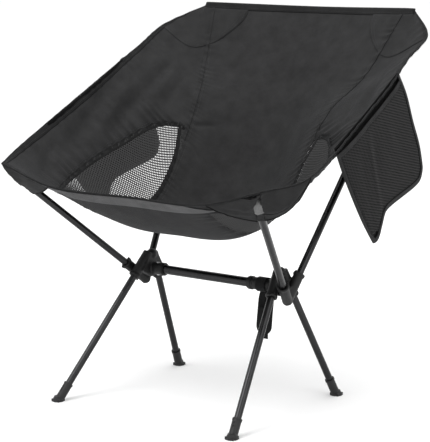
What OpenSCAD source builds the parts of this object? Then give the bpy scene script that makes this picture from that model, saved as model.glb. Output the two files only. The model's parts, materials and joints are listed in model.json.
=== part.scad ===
// Ultralight camp chair: a corded tube frame on two moulded hubs,
// with a bucket sling held up by four pole tips.
// +Z is up, the sitter faces -Y, and left and right are the sitter's own.
// The origin is on the ground under the middle of the chair.

/* [Tubes] */
// Outside diameter of the legs and seat and back poles
tube_d = 12; // [11.6:0.1:12.4]
// Wall thickness of the legs and poles
tube_wall = 1; // [0.8:0.1:1.2]
// Outside diameter of the crossbar
bar_d = 16; // [15:0.5:16]
// Height of the crossbar's centre line above the ground
bar_z = 206; // [205:0.5:207]
// How far the crossbar lies in front of the middle of the chair
bar_forward = 38.4; // [30:0.1:46]
// Length of the inner end of each pole that sits in its hub socket
socket_depth = 38; // [36:1:39]

/* [Hubs] */
// Outside diameter of the four tube sockets
socket_d = 17.6; // [17:0.2:18.4]
// Outside diameter of the lip at the mouth of a socket
lip_d = 20.6; // [20:0.2:21.4]
// Outside diameter of the crossbar's socket
bar_socket_d = 21; // [20:0.5:22]
// Gap all round between a tube and its socket
socket_gap = 0.05; // [0.03:0.01:0.1]

/* [Feet] */
// Width of the round sole of a foot
sole_d = 20; // [18:0.5:22]
// Length of the sleeve of a foot
sleeve_l = 27; // [24:1:30]

/* [Sling] */
// Thickness of the sling cloth
cloth_t = 1.2; // [1:0.1:1.6]
// Thickness of a folded and sewn hem
hem_t = 3; // [2.4:0.1:3.6]
// Length of a pole pocket along its pole
pocket_l = 50; // [44:1:60]

/* [Side pockets] */
// Width of a side pocket along the sling's edge
bag_w = 228; // [206:1:232]
// Depth of a side pocket from its top to its lower corner
bag_h = 180; // [156:1:188]
// Gap between the two faces of a side pocket
bag_gap = 8.4; // [7:0.2:9]

/* [Bundle strap] */
// Width of the hook-and-loop bundle strap
strap_w = 26; // [22:1:28]
// Length of the strap's hanging tail
strap_l = 88; // [70:1:92]
// Width of the strap's hanging tail
tail_w = 30; // [26:1:30]

/* [Hidden] */
$fn = 48;
cloth_colour = [0.16, 0.16, 0.17];
hem_colour = [0.24, 0.24, 0.25];
mesh_colour = [0.28, 0.28, 0.29];
tube_colour = [0.27, 0.27, 0.29];
plastic_colour = [0.13, 0.13, 0.14];
cord_colour = [0.5, 0.5, 0.5];

// --- Frame layout, left side; y is counted from the crossbar ---
leg_apex = [137, 0, 243];
pole_apex = [152, 0, 185];
seat_end = [253.5, -234, 396.5];
back_end = [220, 289, 645];
front_ground = [184, -197, 0];
rear_ground = [172.5, 121, 0];
bar_half = 143;
// Where the dome over the two leg sockets sits below the legs' apex
dome_drop = 12;
rivet_x = 123;
rivet_d = 4;

// Distances along a pole from its apex
pole_start = 12;
pole_mouth = pole_start + socket_depth;
leg_start = 20;
leg_mouth = leg_start + socket_depth + 4;
seat_l = 312;
back_l = 531;
back_joint = 290;
ferrule_half = 38;
cord_d = 3;
tip_d = 14;
tip_l = 16;
foot_h = 6;

// Crossbar socket mouths: the left hub's socket is the longer one
left_mouth = 86;
right_mouth = 118;
collar_l = 12;

// Sling stations from front to back: side edge, seam and middle line
edge_row = [[266, -239, 405], [301, -170, 418], [305, -92, 454], [300, 5, 504],
            [296, 80, 543], [287, 150, 582], [282, 219, 618], [217, 283, 657]];
seam_row = [[150, -238, 376], [140, -152, 327], [133, -72, 309], [131, 12, 333],
            [131, 75, 411], [142, 133, 487], [172, 197, 546], [205, 275, 658]];
mid_row = [[0, -226, 373], [0, -152, 312], [0, -64, 286], [0, 18, 291],
           [0, 100, 352], [0, 172, 445], [0, 240, 545], [0, 316, 654]];

// Sling seams and borders as fractions of the half width and of the length
seam_u = 0.5;
hem_u = 0.98;
front_hem_v = 0.028;
top_hem_v = 0.988;
window_v = 0.335;
window_half_v = 0.29;
window_u = 0.28;
patch_v = 0.138;
patch_u = 0.66;
// Gaps between pieces that are sewn edge to edge
gap_u = 0.0012;
gap_v = 0.0006;
// Height of a second layer above or below the first
lap = 0.5;

// --- Helpers ---
function place(p) = [p.x, p.y - bar_forward, p.z];
function unit(a) = a / norm(a);

// Smooth curve through the points of a row, t from 0 to 1
function row_point(row, i) =
    i < 0 ? 2 * row[0] - row[1]
    : i > len(row) - 1 ? 2 * row[len(row) - 1] - row[len(row) - 2]
    : row[i];
function blend4(a, b, c, d, f) =
    0.5 * (2 * b + (c - a) * f + (2 * a - 5 * b + 4 * c - d) * f * f
           + (3 * b - a - 3 * c + d) * f * f * f);
function curve(row, t) =
    let (x = min(max(t, 0), 1) * (len(row) - 1), i = min(floor(x), len(row) - 2))
    blend4(row_point(row, i - 1), row_point(row, i), row_point(row, i + 1),
           row_point(row, i + 2), x - i);

// The sling: u from -1 on the right edge to 1 on the left edge, v from front to top
function flip(p) = [-p.x, p.y, p.z];
function sling(u, v) =
    let (e = curve(edge_row, v), s = curve(seam_row, v), m = curve(mid_row, v))
    place(curve([flip(e), flip(s), m, s, e], (u + 1) / 2));
function sling_normal(u, v) =
    let (h = 0.002, a = min(max(u, h - 1), 1 - h), b = min(max(v, h), 1 - h))
    unit(cross(sling(a + h, b) - sling(a - h, b), sling(a, b + h) - sling(a, b - h)));
function window_edge(v) =
    let (k = (v - window_v) / window_half_v)
    abs(k) >= 1 ? seam_u : seam_u + window_u * sqrt(1 - k * k);

function patch_edge(v) =
    let (k = (top_hem_v - v) / patch_v)
    hem_u - 0.006 - patch_u * max(0, 1 - k * k);

// Puts children's +Z along the line from a to b
module along(a, b) {
    d = b - a;
    translate(place(a))
        rotate([0, acos(d.z / norm(d)), atan2(d.y, d.x)])
            children();
}

module rod(d, from, to) {
    translate([0, 0, from])
        cylinder(d = d, h = to - from);
}

module pipe(d, bore, from, to) {
    difference() {
        rod(d, from, to);
        rod(bore, from - 1, to + 1);
    }
}

// Right-hand pieces mirror the left-hand ones
module side(s) {
    if (s > 0) children();
    else mirror([1, 0, 0]) children();
}

// A layer of cloth over the sling between low(v) and high(v), v0 and v1.
// It lies between the heights t0 and t1 on the sitter's side.
module cloth(low, high, v0, v1, nu, nv, t0, t1) {
    grid = [for (t = [t0, t1]) for (j = [0:nv]) for (i = [0:nu])
        let (v = v0 + (v1 - v0) * j / nv, u = low(v) + (high(v) - low(v)) * i / nu)
        sling(u, v) + t * sling_normal(u, v)];
    row = nu + 1;
    layer = row * (nv + 1);
    faces = concat(
        [for (j = [0:nv - 1]) for (i = [0:nu - 1]) for (k = [0, 1])
            let (a = j * row + i)
            k == 0 ? [a, a + 1, a + row + 1] : [a, a + row + 1, a + row]],
        [for (j = [0:nv - 1]) for (i = [0:nu - 1]) for (k = [0, 1])
            let (a = layer + j * row + i)
            k == 0 ? [a, a + row + 1, a + 1] : [a, a + row, a + row + 1]],
        [for (i = [0:nu - 1]) for (k = [0, 1])
            let (a = i, b = i + 1)
            k == 0 ? [a, layer + b, b] : [a, layer + a, layer + b]],
        [for (i = [0:nu - 1]) for (k = [0, 1])
            let (a = nv * row + i, b = a + 1)
            k == 0 ? [a, b, layer + b] : [a, layer + b, layer + a]],
        [for (j = [0:nv - 1]) for (k = [0, 1])
            let (a = j * row, b = a + row)
            k == 0 ? [a, b, layer + b] : [a, layer + b, layer + a]],
        [for (j = [0:nv - 1]) for (k = [0, 1])
            let (a = j * row + nu, b = a + row)
            k == 0 ? [a, layer + b, b] : [a, layer + a, layer + b]]);
    polyhedron(points = grid, faces = faces, convexity = 10);
}

// --- Frame ---
module crossbar() {
    color(tube_colour)
        difference() {
            translate([-bar_half, -bar_forward, bar_z])
                rotate([0, 90, 0])
                    pipe(bar_d, bar_d - 2 * tube_wall, 0, 2 * bar_half);
            for (s = [1, -1])
                translate([s * rivet_x, -bar_forward, bar_z])
                    cylinder(d = rivet_d, h = bar_d + 2, center = true);
        }
}

// One tube socket with a lip and two small tabs at its mouth
module socket(from, mouth) {
    rod(socket_d, from, mouth);
    rod(lip_d, mouth - 5, mouth);
    for (a = [0, 180])
        rotate(a)
            translate([lip_d / 2 - 0.8, 0, mouth - 3])
                cylinder(d = 3.4, h = 5, $fn = 24);
}

// Flat web in the plane of a pair of sockets, x from x0 to x1
module web(x0, x1, outline) {
    translate([x0, -bar_forward, 0])
        rotate([90, 0, 90])
            linear_extrude(x1 - x0)
                polygon(outline);
}

module hub(mouth_x) {
    color(plastic_colour)
        difference() {
            union() {
                along(pole_apex, seat_end) socket(-4, pole_mouth);
                along(pole_apex, back_end) socket(-4, pole_mouth);
                along(leg_apex, front_ground) socket(dome_drop, leg_mouth);
                along(leg_apex, rear_ground) socket(dome_drop, leg_mouth);
                translate(place(pole_apex)) sphere(d = socket_d + 0.6);
                translate(place(leg_apex) - [0, 0, dome_drop]) sphere(d = socket_d + 1);
                web(131, 143, [[0, 238], [-10, 234], [-33, 206], [-8, 192], [12, 192], [25, 208],
                               [9, 234]]);
                web(147, 158, [[-22, 206], [-4, 180], [5, 180], [22, 214], [0, 208]]);
                translate([mouth_x, -bar_forward, bar_z])
                    rotate([0, 90, 0])
                        cylinder(d = bar_socket_d, h = 150 - mouth_x);
            }
            along(pole_apex, seat_end) rod(tube_d + 2 * socket_gap, pole_start, pole_mouth + 9);
            along(pole_apex, back_end) rod(tube_d + 2 * socket_gap, pole_start, pole_mouth + 9);
            along(leg_apex, front_ground) rod(tube_d + 2 * socket_gap, leg_start, leg_mouth + 9);
            along(leg_apex, rear_ground) rod(tube_d + 2 * socket_gap, leg_start, leg_mouth + 9);
            translate([mouth_x - 1, -bar_forward, bar_z])
                rotate([0, 90, 0])
                    cylinder(d = bar_d, h = bar_half - mouth_x + 1);
            translate([rivet_x, -bar_forward, bar_z])
                cylinder(d = rivet_d, h = bar_socket_d + 2, center = true);
        }
}

module collar(mouth_x) {
    color(plastic_colour)
        translate([mouth_x - collar_l, -bar_forward, bar_z])
            rotate([0, 90, 0])
                difference() {
                    union() {
                        rod(bar_d + 5, 0, collar_l);
                        rod(bar_d + 7, 2, collar_l - 4);
                    }
                    rod(bar_d, -1, collar_l + 1);
                }
}

module crossbar_rivets() {
    color("silver")
        for (s = [1, -1])
            translate([s * rivet_x, -bar_forward, bar_z]) {
                cylinder(d = rivet_d, h = bar_socket_d, center = true);
                for (k = [-1, 1])
                    translate([0, 0, k * (bar_socket_d / 2 + 0.5)])
                        cylinder(d = rivet_d + 2, h = 1, center = true);
            }
}

// Elastic cord inside the legs and poles of one side
module shock_cord() {
    color(cord_colour) {
        along(pole_apex, seat_end) rod(cord_d, pole_start, seat_l - 24);
        along(pole_apex, back_end) rod(cord_d, pole_start, back_l - 24);
        along(leg_apex, front_ground) rod(cord_d, leg_start, norm(front_ground - leg_apex) - 40);
        along(leg_apex, rear_ground) rod(cord_d, leg_start, norm(rear_ground - leg_apex) - 40);
    }
}

module leg(ground) {
    color(tube_colour)
        along(leg_apex, ground)
            pipe(tube_d, tube_d - 2 * tube_wall, leg_start, norm(ground - leg_apex) - 12);
}

// Plastic foot: a sleeve on the leg's end, with an oval window, over a flat ribbed sole
module foot(ground) {
    l = norm(ground - leg_apex);
    color(plastic_colour)
        difference() {
            union() {
                along(leg_apex, ground) {
                    rod(tube_d + 3, l - 8 - sleeve_l, l - 5);
                    rod(tube_d + 4.4, l - 8 - sleeve_l, l - 5 - sleeve_l);
                }
                translate(place(ground)) {
                    cylinder(d = sole_d, h = 3.4);
                    translate([0, 0, 3.4])
                        cylinder(d1 = sole_d - 1.4, d2 = tube_d + 1, h = foot_h);
                    for (a = [45:90:315])
                        rotate(a)
                            translate([sole_d / 2 - 0.6, 0, 0])
                                cylinder(d = 4, h = 4.6, $fn = 24);
                }
            }
            along(leg_apex, ground)
                rod(tube_d, l - 8 - sleeve_l - 1, l - 12);
            along(leg_apex, ground)
                for (k = [-3, 3])
                    translate([0, 0, l - 22 + k])
                        rotate([0, -90, 0])
                            rod(4.4, tube_d / 2, tube_d);
            translate(place(ground) - [0, 0, 30])
                cylinder(d = 60, h = 30);
        }
}

module pole(tip, from, to) {
    color(tube_colour)
        along(pole_apex, tip)
            pipe(tube_d, tube_d - 2 * tube_wall, from, to);
}

module ferrule() {
    color("silver")
        along(pole_apex, back_end)
            difference() {
                union() {
                    rod(tube_d - 2 * tube_wall, back_joint - ferrule_half, back_joint);
                    rod(tube_d - 2 * tube_wall - 0.1, back_joint, back_joint + ferrule_half);
                }
                rod(tube_d - 2 * tube_wall - 2, back_joint - ferrule_half - 1,
                    back_joint + ferrule_half + 1);
            }
}

// Ball-ended cap on a pole's end
module tip(end, l) {
    color(plastic_colour)
        along(pole_apex, end)
            difference() {
                union() {
                    rod(tip_d, l - tip_l, l);
                    translate([0, 0, l]) sphere(d = tip_d);
                }
                rod(tube_d, l - tip_l - 1, l - 4);
            }
}

// --- Sling ---
module center_panel() {
    color(cloth_colour)
        cloth(function (v) gap_u - seam_u, function (v) seam_u - gap_u, front_hem_v + gap_v,
              top_hem_v - gap_v, 14, 36, -cloth_t, 0);
}

module side_panel(s) {
    color(cloth_colour)
        side(s)
            cloth(function (v) window_edge(v), function (v) hem_u - gap_u, front_hem_v + gap_v,
                  top_hem_v - gap_v, 8, 36, -cloth_t, 0);
}

// Net sewn to the underside of the panels, over an oval opening
module mesh_window(s) {
    margin = 0.004;
    net_t = 0.6;
    color(mesh_colour)
        side(s)
            cloth(function (v) seam_u - margin, function (v) window_edge(v) + margin,
                  window_v - window_half_v, window_v + window_half_v, 6, 22,
                  -cloth_t - lap - net_t, -cloth_t - lap);
}

module front_hem() {
    color(hem_colour)
        cloth(function (v) -1, function (v) 1, 0, front_hem_v, 44, 1, -hem_t / 2, hem_t / 2);
}

module top_hem() {
    color(hem_colour)
        cloth(function (v) -1, function (v) 1, top_hem_v, 1, 40, 1, -hem_t / 2, hem_t / 2);
}

module side_hem(s) {
    color(hem_colour)
        side(s)
            cloth(function (v) hem_u, function (v) 1, front_hem_v, top_hem_v, 1, 36,
                  -hem_t / 2, hem_t / 2);
}

// Narrow webbing over the inner edge of a mesh window
module seam_tape(s) {
    tape_u = 0.035;
    color(hem_colour)
        side(s)
            cloth(function (v) seam_u, function (v) seam_u + tape_u,
                  front_hem_v + 0.003, window_v + window_half_v + 0.02, 1, 22, lap, 1 + lap);
}

// Second layer of cloth at a top corner, with a rounded inner edge
module top_corner_patch(s) {
    color(cloth_colour)
        side(s)
            cloth(function (v) patch_edge(v), function (v) hem_u - 0.006,
                  top_hem_v - patch_v * 0.998, top_hem_v - 0.003, 12, 12, lap, 0.9 + lap);
}

// Sewn sleeve with a closed end that a pole tip pushes into
module pole_pocket(end, l, s) {
    color(hem_colour)
        side(s)
            along(pole_apex, end)
                difference() {
                    union() {
                        rod(tip_d + 5, l + 8 - pocket_l, l);
                        translate([0, 0, l]) sphere(d = tip_d + 5);
                    }
                    rod(tip_d + 1.6, l + 8 - pocket_l - 1, l);
                    translate([0, 0, l]) sphere(d = tip_d + 1.6);
                }
}

// --- Side pockets, hung from the sling's edges; drawn for the left-hand one ---
bag_turn = 2.9;
bag_tilt = 27.4;
bag_corner = [303.2, -84, 455];
bag_drop = 13;
bag_mouth_drop = 6;
bag_band_h = 8;
bag_face_t = 1;
bag_x = -4;
bag_gusset_t = 2;

// Puts y along the sling's edge, -z down the pocket and +x away from the sling
module on_edge() {
    translate(place(bag_corner))
        rotate([bag_tilt, 0, bag_turn])
            children();
}

// Outline of a pocket face, y then z. Its lower front corner droops past a notch in the edge.
bag_outline = [[0, 0], [bag_w - 6, 0], [bag_w + 3, -45], [bag_w + 5, 10 - bag_h],
               [bag_w - 6, -18 - bag_h], [bag_w - 30, -21 - bag_h], [90, 1 - bag_h],
               [71, -12 - bag_h], [50, -25 - bag_h], [37, -21 - bag_h], [26, -bag_h],
               [10, 80 - bag_h]];

// Slab in the plane of the pocket, from x0 to x1, cut off above z = -top
module bag_slab(x0, x1, top, bottom) {
    on_edge()
        translate([x0, 0, 0])
            rotate([90, 0, 90])
                linear_extrude(x1 - x0)
                    intersection() {
                        children();
                        translate([-10, -bottom])
                            square([bag_w + 20, bottom - top]);
                    }
}

module bag_back() {
    color(cloth_colour)
        bag_slab(bag_x - bag_face_t, bag_x, bag_drop, 2 * bag_h) polygon(bag_outline);
}

module bag_mesh() {
    color(mesh_colour)
        bag_slab(bag_x + bag_gap, bag_x + bag_gap + bag_face_t, bag_mouth_drop + bag_band_h,
                 2 * bag_h)
            polygon(bag_outline);
}

module bag_mouth_band() {
    color(hem_colour)
        bag_slab(bag_x + bag_gap, bag_x + bag_gap + bag_face_t, bag_mouth_drop,
                 bag_mouth_drop + bag_band_h)
            polygon(bag_outline);
}

// Gusset that joins the two faces round the sides and the bottom
module bag_gusset() {
    color(hem_colour)
        bag_slab(bag_x, bag_x + bag_gap, bag_drop + 1, 2 * bag_h)
            difference() {
                polygon(bag_outline);
                polygon(bag_inside);
            }
}

// The outline drawn in by the gusset's thickness, and open at the top
bag_inside = [[1.2, 9], [bag_w - 9.8, 9], [bag_w + 1, -45], [bag_w + 3, 11 - bag_h],
              [bag_w - 7.4, -16.2 - bag_h], [bag_w - 29.9, -19 - bag_h], [89.6, 3.1 - bag_h],
              [69.9, -10.3 - bag_h], [49.7, -22.8 - bag_h], [38.4, -19.3 - bag_h],
              [27.9, 0.7 - bag_h], [12, 80.3 - bag_h]];

// --- Bundle strap, hung round the left hub's crossbar socket ---
strap_x = 102;
strap_t = 1.6;
// The tail is centred a little nearer the hub than the loop
tail_shift = (strap_w - tail_w) / 2 + 2;
strap_ring_r = bar_socket_d / 2 + 0.4;

module bundle_strap() {
    color(plastic_colour)
        translate([strap_x - strap_w / 2, -bar_forward, bar_z])
            union() {
                rotate([0, 90, 0])
                    difference() {
                        cylinder(r = strap_ring_r + strap_t, h = strap_w);
                        translate([0, 0, -1])
                            cylinder(r = strap_ring_r, h = strap_w + 2);
                    }
                translate([tail_shift, -strap_t - 0.4, -strap_ring_r - 0.4 - strap_l])
                    rotate([90, 0, 0])
                        translate([0, 0, -strap_t])
                            strap_tail();
            }
}

// Tail with a rounded end, drawn in x and z
module strap_tail() {
    linear_extrude(strap_t)
        union() {
            translate([0, tail_w / 2])
                square([tail_w, strap_l - tail_w / 2]);
            translate([tail_w / 2, tail_w / 2])
                circle(d = tail_w);
        }
}

module strap_pad() {
    color([0.08, 0.08, 0.08])
        translate([strap_x - strap_w / 2 + 3, -bar_forward + 0.4, bar_z - strap_ring_r - strap_l + 6])
            cube([strap_w - 6, 1.4, strap_l * 0.6]);
}

crossbar();
hub(left_mouth);  // hub_left
side(-1) hub(right_mouth);  // hub_right
collar(left_mouth);  // crossbar_collar_left
side(-1) collar(right_mouth);  // crossbar_collar_right
crossbar_rivets();
shock_cord();  // shock_cord_left
side(-1) shock_cord();  // shock_cord_right
leg(front_ground);  // front_leg_left
side(-1) leg(front_ground);  // front_leg_right
leg(rear_ground);  // rear_leg_left
side(-1) leg(rear_ground);  // rear_leg_right
foot(front_ground);  // front_foot_left
side(-1) foot(front_ground);  // front_foot_right
foot(rear_ground);  // rear_foot_left
side(-1) foot(rear_ground);  // rear_foot_right
pole(seat_end, pole_start, seat_l - 4);  // seat_pole_left
side(-1) pole(seat_end, pole_start, seat_l - 4);  // seat_pole_right
tip(seat_end, seat_l);  // seat_pole_tip_left
side(-1) tip(seat_end, seat_l);  // seat_pole_tip_right
pole(back_end, pole_start, back_joint);  // back_pole_lower_left
side(-1) pole(back_end, pole_start, back_joint);  // back_pole_lower_right
ferrule();  // back_ferrule_left
side(-1) ferrule();  // back_ferrule_right
pole(back_end, back_joint, back_l - 4);  // back_pole_upper_left
side(-1) pole(back_end, back_joint, back_l - 4);  // back_pole_upper_right
tip(back_end, back_l);  // back_pole_tip_left
side(-1) tip(back_end, back_l);  // back_pole_tip_right
center_panel();
side_panel(1);  // side_panel_left
side_panel(-1);  // side_panel_right
mesh_window(1);  // mesh_window_left
mesh_window(-1);  // mesh_window_right
front_hem();
top_hem();
side_hem(1);  // side_hem_left
side_hem(-1);  // side_hem_right
seam_tape(1);  // seam_tape_left
seam_tape(-1);  // seam_tape_right
top_corner_patch(1);  // top_corner_patch_left
top_corner_patch(-1);  // top_corner_patch_right
pole_pocket(seat_end, seat_l, 1);  // seat_pocket_left
pole_pocket(seat_end, seat_l, -1);  // seat_pocket_right
pole_pocket(back_end, back_l, 1);  // back_pocket_left
pole_pocket(back_end, back_l, -1);  // back_pocket_right
bag_back();  // bag_back_left
side(-1) bag_back();  // bag_back_right
bag_mesh();  // bag_mesh_left
side(-1) bag_mesh();  // bag_mesh_right
bag_gusset();  // bag_gusset_left
side(-1) bag_gusset();  // bag_gusset_right
bag_mouth_band();  // bag_mouth_band_left
side(-1) bag_mouth_band();  // bag_mouth_band_right
bundle_strap();
strap_pad();
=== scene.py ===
"""Ultralight camp chair: the sling, its sewing and the finishes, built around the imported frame.

The station tables, the poles and the outlines of the pockets and the strap are in millimetres;
everything else is in metres.
u runs across the sling from -1 on the right edge to 1 on the left edge, and v from front to top.
"""

import json
import math

import bmesh
import bpy
import numpy as np
from mathutils import Matrix, Vector


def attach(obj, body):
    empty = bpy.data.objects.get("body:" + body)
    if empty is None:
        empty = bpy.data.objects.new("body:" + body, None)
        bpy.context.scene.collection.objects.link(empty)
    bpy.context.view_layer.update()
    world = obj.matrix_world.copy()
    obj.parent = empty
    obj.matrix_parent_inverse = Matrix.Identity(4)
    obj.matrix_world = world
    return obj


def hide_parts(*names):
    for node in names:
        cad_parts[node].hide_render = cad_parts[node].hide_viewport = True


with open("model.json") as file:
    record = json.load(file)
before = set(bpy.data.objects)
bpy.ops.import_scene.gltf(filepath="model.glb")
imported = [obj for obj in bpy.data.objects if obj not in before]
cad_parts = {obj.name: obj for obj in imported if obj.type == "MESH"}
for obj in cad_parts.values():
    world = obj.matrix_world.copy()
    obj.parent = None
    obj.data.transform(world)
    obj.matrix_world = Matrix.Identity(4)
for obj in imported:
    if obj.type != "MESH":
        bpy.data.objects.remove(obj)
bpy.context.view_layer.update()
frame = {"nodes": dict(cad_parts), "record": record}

MM = 0.001
SIDES = (("left", 1), ("right", -1))

# --- The sling's stations, front to top, as in the CAD model; y is counted from the crossbar ---
BAR_FORWARD = 38.4
EDGE_ROW = np.array([[266, -239, 405], [301, -170, 418], [305, -92, 454], [300, 5, 504],
                     [296, 80, 543], [287, 150, 582], [282, 219, 618], [217, 283, 656.5]], float)
SEAM_ROW = np.array([[150, -238, 376], [140, -152, 327], [133, -72, 309], [131, 12, 333],
                     [131, 75, 411], [142, 133, 487], [172, 197, 546], [205, 275, 658]], float)
MID_ROW = np.array([[0, -226, 373], [0, -152, 312], [0, -64, 286], [0, 18, 291],
                    [0, 100, 352], [0, 172, 445], [0, 240, 545], [0, 316, 654]], float)

# Seams and borders
SEAM_U = 0.5
HEM_U = 0.966
FRONT_HEM_V = 0.028
TOP_HEM_V = 0.984
WINDOW_V = 0.335
WINDOW_HALF_V = 0.29
WINDOW_U = 0.28
TAPE_U = 0.024
PATCH_V = 0.138
PATCH_U = 0.66
PATCH_HEIGHT = 0.9 * MM
# How far the tape leaves the seam at the top of a window
TAPE_DRIFT = 0.038

# Mean lengths that turn u and v into metres of cloth
HALF_WIDTH = 0.33
LENGTH = 0.70

# Poles and hubs, left side
POLE_APEX = np.array([152, 0, 185], float)
SEAT_END = np.array([253.5, -234, 396.5])
BACK_END = np.array([220, 289, 645], float)
SEAT_POLE_L = 312
BACK_POLE_L = 531


# --- Curves and the sling surface ---
def catmull(points, t):
    """Smooth curve through points (n, k, 3), one t from 0 to 1 for each of the k."""
    count = len(points)
    x = np.clip(t, 0, 1) * (count - 1)
    i = np.minimum(x.astype(int), count - 2)
    f = (x - i)[:, None]
    ends = np.concatenate([2 * points[:1] - points[1:2], points, 2 * points[-1:] - points[-2:-1]])
    k = np.arange(len(x))
    a, b, c, d = (ends[i + j, k] for j in range(4))
    return 0.5 * (2 * b + (c - a) * f + (2 * a - 5 * b + 4 * c - d) * f ** 2
                  + (3 * b - a - 3 * c + d) * f ** 3)


def along(points, t):
    """Smooth curve through points (n, 3) at every t."""
    points = np.asarray(points, float)
    return catmull(np.repeat(points[:, None], len(t), axis=1), t)


def sling_base(u, v):
    """The sling's smooth surface, in metres."""
    e, s, m = (along(row, v) for row in (EDGE_ROW, SEAM_ROW, MID_ROW))
    mirror = np.array([-1, 1, 1])
    p = catmull(np.stack([e * mirror, s * mirror, m, s, e]), (u + 1) / 2)
    p[:, 1] -= BAR_FORWARD
    return p * MM


def unit(vectors):
    return vectors / np.linalg.norm(vectors, axis=-1, keepdims=True)


def smoothed(points, times):
    """A row of points with its bends evened out, and its ends kept."""
    points = points.copy()
    for _ in range(times):
        points[1:-1] = (points[:-2] + 2 * points[1:-1] + points[2:]) / 4
    return points


def wave(x, seed, waves=5):
    """Smooth pseudo-random curve between about -1 and 1, with features about 1 unit long."""
    rng = np.random.default_rng(seed)
    total = np.zeros_like(x)
    for _ in range(waves):
        total += np.sin(x * rng.uniform(2.2, 7.5) + rng.uniform(0, 2 * math.pi))
    return total / waves


def bump(x, width):
    """1 at x = 0, falling smoothly to 0 over width."""
    return np.exp(-(x / width) ** 2)


def ramp(x, start, end):
    """0 before start and 1 after end, with a soft step between."""
    t = np.clip((x - start) / (end - start), 0, 1)
    return t * t * (3 - 2 * t)


def valley(x, y, points, width):
    """A soft groove along a line through points (x, y), fading at both ends."""
    line = along([(*p, 0) for p in points], np.linspace(0, 1, 40))[:, :2]
    gap = np.hypot(x[:, None] - line[:, 0], y[:, None] - line[:, 1])
    nearest = gap.argmin(axis=1)
    t = nearest / 39
    return bump(gap.min(axis=1), width) * np.sin(math.pi * np.clip(t, 0.02, 0.98)) ** 0.6


# Folds in the side panels: side, line of (u, v) points, width and depth in mm; depth below zero is a ridge
FOLDS = (
    (-1, ((0.76, 0.79), (0.80, 0.62), (0.83, 0.44)), 13, 4.5),
    (-1, ((0.71, 0.80), (0.74, 0.68), (0.75, 0.56)), 10, -2.0),
    (-1, ((0.94, 0.55), (0.91, 0.40), (0.86, 0.25)), 12, 4.0),
    (-1, ((0.90, 0.62), (0.87, 0.48), (0.85, 0.36)), 9, -2.0),
    (-1, ((0.93, 0.30), (0.87, 0.20), (0.80, 0.14)), 9, 2.5),
    (-1, ((0.62, 0.78), (0.66, 0.70), (0.68, 0.62)), 8, 2.0),
    (1, ((0.93, 0.34), (0.86, 0.22), (0.78, 0.12)), 12, 3.0),
    (1, ((0.76, 0.80), (0.82, 0.62), (0.86, 0.44)), 13, 4.0),
    (1, ((0.95, 0.56), (0.90, 0.42), (0.86, 0.28)), 11, 3.0),
    (1, ((0.64, 0.76), (0.70, 0.68), (0.70, 0.60)), 9, 2.0),
)


# Creases that run from the far seam into the seat: line of (u, v) points, width and depth in mm
CREASES = (
    (((0.49, 0.645), (0.41, 0.665), (0.33, 0.685)), 4, 1.6),
    (((0.47, 0.60), (0.42, 0.59), (0.36, 0.575)), 4, 1.0),
    (((0.49, 0.915), (0.42, 0.925), (0.30, 0.92)), 6, 1.6),
    (((0.46, 0.51), (0.44, 0.49), (0.40, 0.47)), 3, 0.8),
    (((0.47, 0.45), (0.44, 0.44), (0.40, 0.43)), 3, 0.8),
)

FOLD_SCALE = 1.7
CREASE_SCALE = 1.8
SEAM_GATHER = 1.9 * MM
EDGE_GATHER = 0.9 * MM
WINDOW_GATHER = 3.4 * MM
PANEL_WAVE = 2.6 * MM


def relief(u, v):
    """How far the sling's cloth stands off its smooth surface, on the sitter's side, in metres."""
    a = np.abs(u)
    y = v * LENGTH
    out = (a - SEAM_U) * HALF_WIDTH * 1.1
    side = np.where(u < 0, 7, 3)
    # Gathers that the seam draws in, strongest beside it
    near = np.where(out < 0, np.exp(np.minimum(out, 0) / 0.017), np.exp(-np.maximum(out, 0) / 0.009))
    phase = y / 0.0125 + 1.3 * wave(y / 0.06 + side, 11)
    strength = 0.55 + 0.45 * wave(y / 0.035 + side, 12)
    gather = SEAM_GATHER * near * np.sin(2 * math.pi * phase) * strength
    # Slack that the hems gather along the edges
    edge = np.exp(-np.maximum(HEM_U - a, 0) * HALF_WIDTH / 0.02) * ramp(v, 0.05, 0.2)
    gather += EDGE_GATHER * edge * np.sin(2 * math.pi * (y / 0.031 + wave(y / 0.1 + side, 13)))
    # Slack over the top of the mesh windows
    k = np.clip((v - WINDOW_V) / WINDOW_HALF_V, -1, 1)
    arc = SEAM_U + WINDOW_U * np.sqrt(1 - k * k)
    over = np.maximum(a - arc, 0) * HALF_WIDTH
    pull = np.where(a > arc, np.exp(-over / 0.022), 0) * ramp(v, 0.08, 0.2) * (1 - ramp(v, 0.6, 0.7))
    gather += WINDOW_GATHER * pull * np.sin(2 * math.pi * (y / 0.021 + 0.9 * wave(y / 0.07 + side, 14)))
    # Broad unevenness of the panels
    wide = PANEL_WAVE * wave(u * 2.1 + v * 1.3, 15) * wave(v * 4.2 - u, 16) * ramp(a, 0.0, 0.3)
    folds = np.zeros_like(u)
    for sign, points, width, depth in FOLDS:
        part = (u * sign > 0.45)
        if part.any():
            line = [(p[0] * HALF_WIDTH, p[1] * LENGTH) for p in points]
            folds[part] -= FOLD_SCALE * depth * MM * valley(a[part] * HALF_WIDTH, y[part], line, width * MM)
    for line, width, depth in CREASES:
        flat = [(p[0] * HALF_WIDTH, p[1] * LENGTH) for p in line]
        part = (u < 0) & (a < SEAM_U)
        if part.any():
            folds[part] -= CREASE_SCALE * depth * MM * valley(a[part] * HALF_WIDTH, y[part], flat, width * MM)
    calm = ramp(v, 0.0, 0.05) * (1 - 0.7 * ramp(v, 0.95, 1.0)) * (1 - 0.5 * ramp(a, 0.95, 1.0))
    return (gather + wide + folds) * calm


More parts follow.
